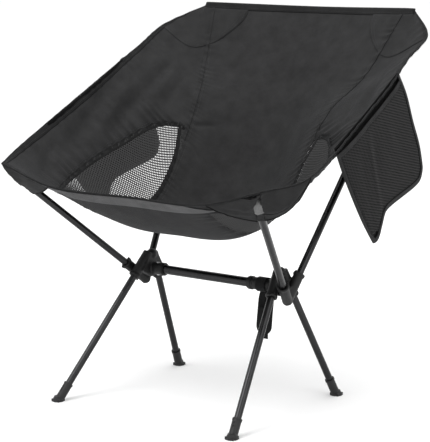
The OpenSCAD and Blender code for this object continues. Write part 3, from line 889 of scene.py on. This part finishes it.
def slanted_line(grid, rise):
    """A line across a wrap, from its free edge at the hem to a share of its length up the sleeve."""
    last = grid.shape[0] - 1
    columns = np.arange(grid.shape[1])
    rows = last * (1 - rise * np.linspace(0, 1, grid.shape[1]))
    low = np.minimum(rows.astype(int), last - 1)
    share = (rows - low)[:, None]
    return grid[low, columns] * (1 - share) + grid[low + 1, columns] * share


def edge_binding(name, line, radius, corners=8):
    """A round binding sewn along a line of points, painted near-black as the shade along that edge."""
    run = unit(np.gradient(line, axis=0))
    one = unit(np.cross(run, [0, 0, 1.0]))
    two = np.cross(run, one)
    angle = np.linspace(0, 2 * math.pi, corners, endpoint=False)
    ring = (line[:, None] + radius * (np.cos(angle)[None, :, None] * one[:, None]
                                      + np.sin(angle)[None, :, None] * two[:, None])).reshape(-1, 3)
    uv = uv_grid(np.arange(len(line)), np.arange(corners)) * MM
    edge = fix_normals(mesh_object(name, ring, band_faces(corners, len(line) - 1), PAINTED_SHADE_BLACK, uv))
    finish_piece(edge, "sling", "hem_cloth")


for name, sign in SIDES:
    for where, end, length in (("seat", SEAT_END, SEAT_POLE_L), ("back", BACK_END, BACK_POLE_L)):
        seed = sign + 3 * (where == "back")
        tube = sleeve(f"{where}_pole_sleeve_{name}", end, length, sign, -SLEEVE_L, SLEEVE_END, SLEEVE_R,
                      0.5 * MM, CLOTH, seed)
        finish_piece(tube, "sling", "hem_cloth", f"{where}_pocket_{name}")
        # The near left seat pole's cap gets the painted highlight; the other caps get the sling cloth
        cover = sleeve(f"{where}_pole_cap_{name}", end, length, sign, -CAP_L, CAP_END, CAP_R, 0.3 * MM,
                       CAP_PAINTED_HIGHLIGHT if (where, name) == ("seat", "left") else CLOTH, seed + 0.5)
        finish_piece(cover, "sling", "hem_cloth")
        if where == "back":
            web = sleeve_web(f"back_pole_channel_{name}", end, length, sign, -SLEEVE_L, 6 * MM, SLEEVE_R)
            finish_piece(web, "sling", "hem_cloth")
            continue
        for kind in WRAPS:
            wrap = corner_wrap(kind, name, end, length, sign, seed)
            edge_binding(f"{kind}_wrap_binding_{name}", wrap[-1], WRAP_BINDING)
        edge_binding(f"side_wrap_seam_{name}", slanted_line(wrap, WRAP_SEAM_RISE), WRAP_SEAM)

# --- Side pockets, in the frame that hangs from the sling's edge ---
BAG_CORNER = np.array([303.2, -84 - BAR_FORWARD, 455])
BAG_TURN, BAG_TILT = math.radians(2.9), math.radians(27.4)
BAG_MATRIX = np.array(Matrix.Rotation(BAG_TURN, 3, "Z") @ Matrix.Rotation(BAG_TILT, 3, "X"))
BAG_TOP = ((-2, 5), (110, 3), (222, 5))
BAG_FRONT = ((-2, 5), (2, -46), (10, -100), (20, -152), (34, -203))
BAG_REAR = ((222, 5), (231, -40), (232, -95), (235, -145), (230, -186))
BAG_BOTTOM = ((34, -203), (44, -206), (54, -204), (72, -191), (90, -179), (116, -182), (150, -190),
              (190, -199), (214, -200), (230, -186))
BAG_HIGH = 196.0
BAG_LONG = 232.0
BAG_BACK_X = -4.6
BAG_SLACK = 1.4
BAG_OPENING = 7.6


def bag_outline_point(s, t):
    """Coons patch of a pocket face: s from front to rear, t from top to bottom, in mm."""
    top, bottom = (along([(*p, 0) for p in row], s)[:, :2] for row in (BAG_TOP, BAG_BOTTOM))
    front, rear = (along([(*p, 0) for p in row], t)[:, :2] for row in (BAG_FRONT, BAG_REAR))
    s, t = s[:, None], t[:, None]
    corners = ((1 - s) * (1 - t) * np.array(BAG_TOP[0]) + s * (1 - t) * np.array(BAG_TOP[-1])
               + (1 - s) * t * np.array(BAG_BOTTOM[0]) + s * t * np.array(BAG_BOTTOM[-1]))
    return (1 - t) * top + t * bottom + (1 - s) * front + s * rear - corners


def bag_point(x, yz, sign):
    local = np.column_stack([x, yz]) @ BAG_MATRIX.T
    points = (BAG_CORNER + local) * MM
    points[:, 0] *= sign
    return points


def bag_back_x(s, t, seed):
    return BAG_BACK_X + 0.8 * wave(s * 4 + t * 3 + seed, 42) * np.clip(t - 0.1, 0, 1)


def bag_face_x(s, t, seed):
    """The mesh face: it meets the back face round the edges and stands open at the mouth."""
    s, t = np.clip(s, 0, 1), np.clip(t, 0, 1)
    across = np.clip(4 * s * (1 - s), 0, 1) ** 0.42
    down = (1 - t ** 3.2) * (1 - 0.35 * t)
    crease = (bump(s - 0.40 + 0.06 * t, 0.030) * 1.5 - bump(s - 0.47 + 0.06 * t, 0.05) * 1.0
              + bump(s - 0.62 - 0.10 * t, 0.04) * 0.8 - bump(s - 0.28 + 0.12 * t, 0.05) * 0.9)
    return bag_back_x(s, t, seed) + BAG_SLACK + across * down * (
        BAG_OPENING + crease * ramp(t, 0.12, 0.35) + 0.7 * wave(s * 3 + seed, 41))


# Where the mouth band starts and ends, from the top
MOUTH_T = 11 / BAG_HIGH
BAND_T = 19.5 / BAG_HIGH
# The pocket's net: its middle, its span, the pitch, share and thickness of its threads and their angle
BAG_MIDDLE = (116, -98)
BAG_NET_SPAN = 340
BAG_NET_PITCH = 4.4
BAG_NET_SOLID = 0.42
BAG_NET_T = 0.5 * MM
BAG_BIAS = math.radians(-39)


def outline_fractions(y, z):
    """s and t of points in a pocket's plane, by Newton steps on the outline's patch."""
    s, t = y / BAG_LONG, -(z - 4) / BAG_HIGH
    h = 1e-3
    for _ in range(14):
        here = bag_outline_point(s, t)
        ds = (bag_outline_point(s + h, t) - bag_outline_point(s - h, t)) / (2 * h)
        dt = (bag_outline_point(s, t + h) - bag_outline_point(s, t - h)) / (2 * h)
        det = ds[:, 0] * dt[:, 1] - ds[:, 1] * dt[:, 0]
        det = np.where(np.abs(det) < 200, 200 * np.sign(det + 1e-9), det)
        gap = np.column_stack([y, z]) - here
        s = np.clip(s + 0.7 * (gap[:, 0] * dt[:, 1] - gap[:, 1] * dt[:, 0]) / det, -0.2, 1.2)
        t = np.clip(t + 0.7 * (ds[:, 0] * gap[:, 1] - ds[:, 1] * gap[:, 0]) / det, -0.2, 1.2)
    missed = np.linalg.norm(np.column_stack([y, z]) - bag_outline_point(s, t), axis=1) > 1.5
    return np.where(missed, -1, s), t


def pocket_back(name, sign, seed):
    """Cloth face of a pocket, against the sling's side, painted near-black as the shade inside the pocket."""
    t, s = np.meshgrid(np.linspace(0, 1, 41), np.linspace(0, 1, 41), indexing="ij")
    s, t = s.ravel(), t.ravel()
    yz = bag_outline_point(s, t)
    back = mesh_object(f"pocket_back_{name}", bag_point(bag_back_x(s, t, seed), yz, sign),
                       flip_faces(grid_faces(40, 40), sign), PAINTED_SHADE_BLACK, yz * MM)
    finish_piece(thicken(back, CLOTH_T, 0), f"side_pocket_{name}", "sling_cloth", f"bag_back_{name}")


def pocket_net(name, sign, seed):
    """Mesh face of a pocket, with its threads at an angle."""
    n = int(BAG_NET_SPAN / BAG_NET_PITCH)
    y, z = turned_grid(n, BAG_NET_PITCH, BAG_BIAS)
    y, z = y + BAG_MIDDLE[0], z + BAG_MIDDLE[1]
    s, t = outline_fractions(y, z)
    inside = (s > 0.004) & (s < 0.996) & (t > BAND_T - 0.02) & (t < 0.996)
    points = bag_point(bag_face_x(s, t, seed), np.column_stack([y, z]), sign)
    face = net_sheet(f"pocket_mesh_{name}", points, (n, n), inside[grid_faces(n, n)].all(axis=1),
                     BAG_NET_SOLID, BAG_NET_T, POCKET_NET)
    finish_piece(face, f"side_pocket_{name}", "mesh_net", f"bag_mesh_{name}")


def pocket_band(name, sign, seed):
    """Band along a pocket's mouth."""
    def band_place(s, a, h):
        t = MOUTH_T + (BAND_T - MOUTH_T) * a
        return bag_point(bag_face_x(s, t, seed) + h / MM, bag_outline_point(s, t), sign)

    band = ribbon(f"pocket_mouth_band_{name}", band_place, 0.23, 0.008,
                  [(a, h * 0.6) for a, h in HEM_RING], 90, BAND_CLOTH)
    finish_piece(band, f"side_pocket_{name}", "hem_cloth", f"bag_mouth_band_{name}")


def pocket_rim():
    """Points down a pocket's front edge, along its bottom and up its rear edge, with their distance along
    it, the way inward and the binding's width there."""
    rim_s = np.concatenate([np.zeros(60), np.linspace(0, 1, 100, endpoint=False), np.ones(60)])
    rim_t = np.concatenate([np.linspace(MOUTH_T, 1, 60, endpoint=False), np.ones(100),
                            np.linspace(1, 0.0, 60)])
    rim = bag_outline_point(rim_s, rim_t)
    steps = np.concatenate([[0], np.cumsum(np.linalg.norm(np.diff(rim, axis=0), axis=1))])
    reach = np.linspace(0, steps[-1], 260)
    rim = np.column_stack([np.interp(reach, steps, rim[:, k]) for k in range(2)])
    rim = smoothed(rim, 5)
    run = unit(np.gradient(rim, axis=0))
    inward = np.column_stack([-run[:, 1], run[:, 0]])
    # The front edge has only a narrow seam; the bottom and the rear have a wide binding
    wide = 2.6 + 6.0 * ramp(reach, steps[59] - 25, steps[59] + 15)
    return rim, reach, inward, wide


RIM, RIM_REACH, RIM_INWARD, RIM_WIDE = pocket_rim()
# Section of the binding: how far in from the edge, as a share of its width, and how far out in mm
BINDING_RING = ((1.0, 0.9), (0.75, 1.35), (0.25, 1.3), (0.0, 0.75), (-0.06, 0.0), (0.0, -0.75),
                (0.25, -1.2), (0.75, -1.2), (1.0, -0.8))
PIPING_R = 0.8
PIPING_CORNERS = 6


def rim_lift(at, seed):
    """Height of the mesh face at points along the rim, evened out."""
    s, t = outline_fractions(at[:, 0], at[:, 1])
    lift = np.where(s < 0, BAG_BACK_X + BAG_SLACK, bag_face_x(np.clip(s, 0, 1), t, seed))
    return np.convolve(np.pad(lift, 6, "edge"), np.ones(13) / 13, "valid")


def pocket_binding(name, sign, seed):
    """Binding folded over the joined edges of a pocket: front, bottom and rear."""
    middle = BAG_BACK_X + BAG_SLACK * 0.5
    points = np.zeros((len(RIM), len(BINDING_RING), 3))
    for j, (inset, x) in enumerate(BINDING_RING):
        at = RIM + RIM_INWARD * (RIM_WIDE * inset)[:, None]
        points[:, j, 0] = (rim_lift(at, seed) if x > 0 and inset > 0.2 else middle) + x
        points[:, j, 1:] = at
    points = points.reshape(-1, 3)
    uv = uv_grid(RIM_REACH, np.arange(len(BINDING_RING)) * 2.0) * MM
    binding = mesh_object(f"pocket_gusset_{name}", bag_point(points[:, 0], points[:, 1:], sign),
                          flip_faces(grid_faces(len(BINDING_RING) - 1, len(RIM) - 1), sign),
                          BINDING_CLOTH, uv)
    finish_piece(thicken(binding, CLOTH_T, 0), f"side_pocket_{name}", "hem_cloth", f"bag_gusset_{name}")


def pocket_piping(name, sign, seed):
    """Piping along the inner edge of a pocket's binding, painted near-black as the shade in the groove there.
    """
    rows = []
    for k in range(PIPING_CORNERS):
        turn = 2 * math.pi * k / PIPING_CORNERS
        at = RIM + RIM_INWARD * (RIM_WIDE + 0.6 + 1.1 * math.cos(turn))[:, None]
        rows.append(bag_point(rim_lift(at, seed) + 0.5 + PIPING_R * math.sin(turn), at, sign))
    points = np.stack(rows, axis=1)[6:-14]
    rings = len(points)
    uv = uv_grid(np.arange(rings), np.arange(PIPING_CORNERS)) * MM
    piping = fix_normals(mesh_object(f"pocket_piping_{name}", points.reshape(-1, 3),
                                     band_faces(PIPING_CORNERS, rings - 1), PAINTED_SHADE_BLACK, uv))
    finish_piece(piping, f"side_pocket_{name}", "hem_cloth")


def pocket_sewing(name, sign, seed):
    """Two rows of stitches along a pocket's binding, and two along its band."""
    sewn = Stitches()
    outward = (BAG_MATRIX @ np.array([1.0, 0, 0])) * [sign, 1, 1]
    paths = []
    for inset in (0.80, 0.35):
        at = RIM + RIM_INWARD * (RIM_WIDE * inset)[:, None]
        paths.append(bag_point(rim_lift(at, seed) + 1.65, at, sign))
    s = np.linspace(0.01, 0.99, 300)
    for a in (0.28, 0.78):
        t = np.full(len(s), MOUTH_T + (BAND_T - MOUTH_T) * a)
        paths.append(bag_point(bag_face_x(s, t, seed) + 0.9, bag_outline_point(s, t), sign))
    for path in paths:
        sewn.row(path, np.tile(outward, (len(path), 1)))
    sewn.build(f"pocket_stitching_{name}", STITCH, f"side_pocket_{name}")


for name, sign in SIDES:
    for make in (pocket_back, pocket_net, pocket_band, pocket_binding, pocket_piping, pocket_sewing):
        make(name, sign, 2.0 if sign > 0 else 5.0)


# --- Bundle strap: a loop round the crossbar socket and a rounded tail ---
STRAP_X = 104
STRAP_W = 31
STRAP_L = 88
RING_R = 10.9
STRAP_T = 1.5


def strap_piece():
    """Loop and tail as one band, with the tail widening below the loop."""
    loop = np.linspace(math.radians(-70), math.radians(262), 60)
    path = [(-(RING_R + 0.9) * math.sin(a), -(RING_R + 0.9) * math.cos(a)) for a in loop]
    start = path[-1]
    tail = [(start[0] * (1 - k) - 0.6 * k - 1.3 * math.sin(3.0 * k), start[1] - STRAP_L * k)
            for k in np.linspace(0, 1, 60)[1:]]
    path = np.array(path + tail)
    reach = np.concatenate([[0], np.cumsum(np.linalg.norm(np.diff(path, axis=0), axis=1))])
    tail_start = reach[len(loop) - 1]
    total = reach[-1]
    run = unit(np.gradient(path, axis=0))
    normal = np.column_stack([-run[:, 1], run[:, 0]])
    across = np.linspace(-1, 1, 15)
    points, uv = [], []
    for k in range(len(path)):
        left = total - reach[k]
        wide = STRAP_W / 2 * (0.62 + 0.38 * ramp(reach[k], tail_start - 4, tail_start + 30))
        round_end = math.sqrt(max(1 - max(0, 1 - left / wide) ** 2, 0.0))
        half = wide * round_end
        for a in across:
            curl = 0.9 * (a * a) * (1 if reach[k] > tail_start else 0)
            y, z = path[k] + normal[k] * curl
            points.append((STRAP_X + a * half, y - BAR_FORWARD, 206 + z))
            uv.append((reach[k], a * half))
    return np.array(points) * MM, np.array(uv) * MM, len(across), len(path)


points, uv, wide, long = strap_piece()
strap = mesh_object("bundle_strap_web", points, grid_faces(wide - 1, long - 1), WEBBING, uv)
thicken(strap, STRAP_T * MM, 0)
finish_piece(strap, "bundle_strap", "strap_webbing", "bundle_strap")


# --- Hubs: the CAD solid with its inner corners filled, as a moulding has them ---
def moulded(node_name, name, body, material):
    source = frame["nodes"][node_name]
    obj = bpy.data.objects.new(name, source.data.copy())
    bpy.context.scene.collection.objects.link(obj)
    obj.data.materials.clear()
    obj.data.materials.append(material)
    mod = obj.modifiers.new("voxels", "REMESH")
    mod.mode = "VOXEL"
    mod.voxel_size = 1.0 * MM
    smooth = obj.modifiers.new("fillets", "SMOOTH")
    smooth.factor = 0.5
    smooth.iterations = 6
    bake(obj)
    obj.data.polygons.foreach_set("use_smooth", np.ones(len(obj.data.polygons), bool))
    finish_piece(obj, body, "hub_plastic", node_name)
    return obj


for name, sign in SIDES:
    moulded(f"hub_{name}", f"moulded_hub_{name}", "frame", HUB)

# --- Floor, light and camera ---
FLOOR_HALF = 40.0
floor_mesh = bpy.data.meshes.new("floor")
floor_mesh.from_pydata([(x * FLOOR_HALF, y * FLOOR_HALF, 0) for x, y in ((-1, -1), (1, -1), (1, 1), (-1, 1))],
                       [], [(0, 1, 2, 3)])
floor_mesh.materials.append(new_material("floor_paint", (0.9, 0.9, 0.9), 0.9)[0])
floor = bpy.data.objects.new("floor", floor_mesh)
bpy.context.scene.collection.objects.link(floor)

world = bpy.data.worlds.new("studio")
world.use_nodes = True
world.node_tree.nodes["Background"].inputs["Color"].default_value = (1, 1, 1, 1)
world.node_tree.nodes["Background"].inputs["Strength"].default_value = 1.12
bpy.context.scene.world = world


def area_light(name, azimuth, elevation, distance, size, power):
    data = bpy.data.lights.new(name, "AREA")
    data.shape = "DISK"
    data.size = size
    data.energy = power
    obj = bpy.data.objects.new(name, data)
    a, e = math.radians(azimuth), math.radians(elevation)
    back = Vector((math.sin(a) * math.cos(e), -math.cos(a) * math.cos(e), math.sin(e)))
    obj.location = Vector((0, 0, 0.35)) + back * distance
    obj.rotation_euler = (-back).to_track_quat("-Z", "Y").to_euler()
    bpy.context.scene.collection.objects.link(obj)


area_light("key", -20, 50, 3.0, 1.6, 45)
area_light("fill", 75, 30, 3.2, 2.2, 22)
area_light("top", 180, 75, 3.0, 2.4, 30)

CAMERA_AT = Vector((1.729, -2.3231, 0.790))
azimuth, elevation = math.radians(37.09), math.radians(9.65)
looking_from = Vector((math.sin(azimuth) * math.cos(elevation), -math.cos(azimuth) * math.cos(elevation),
                       math.sin(elevation)))
camera_data = bpy.data.cameras.new("camera")
camera_data.lens = 139.3
camera_data.sensor_width = 36
camera_data.clip_end = 200
camera = bpy.data.objects.new("camera", camera_data)
camera.location = CAMERA_AT
camera.rotation_mode = "QUATERNION"
camera.rotation_quaternion = (-looking_from).to_track_quat("-Z", "Y")
bpy.context.scene.collection.objects.link(camera)
bpy.context.scene.camera = camera
bpy.context.scene.view_settings.view_transform = "Standard"
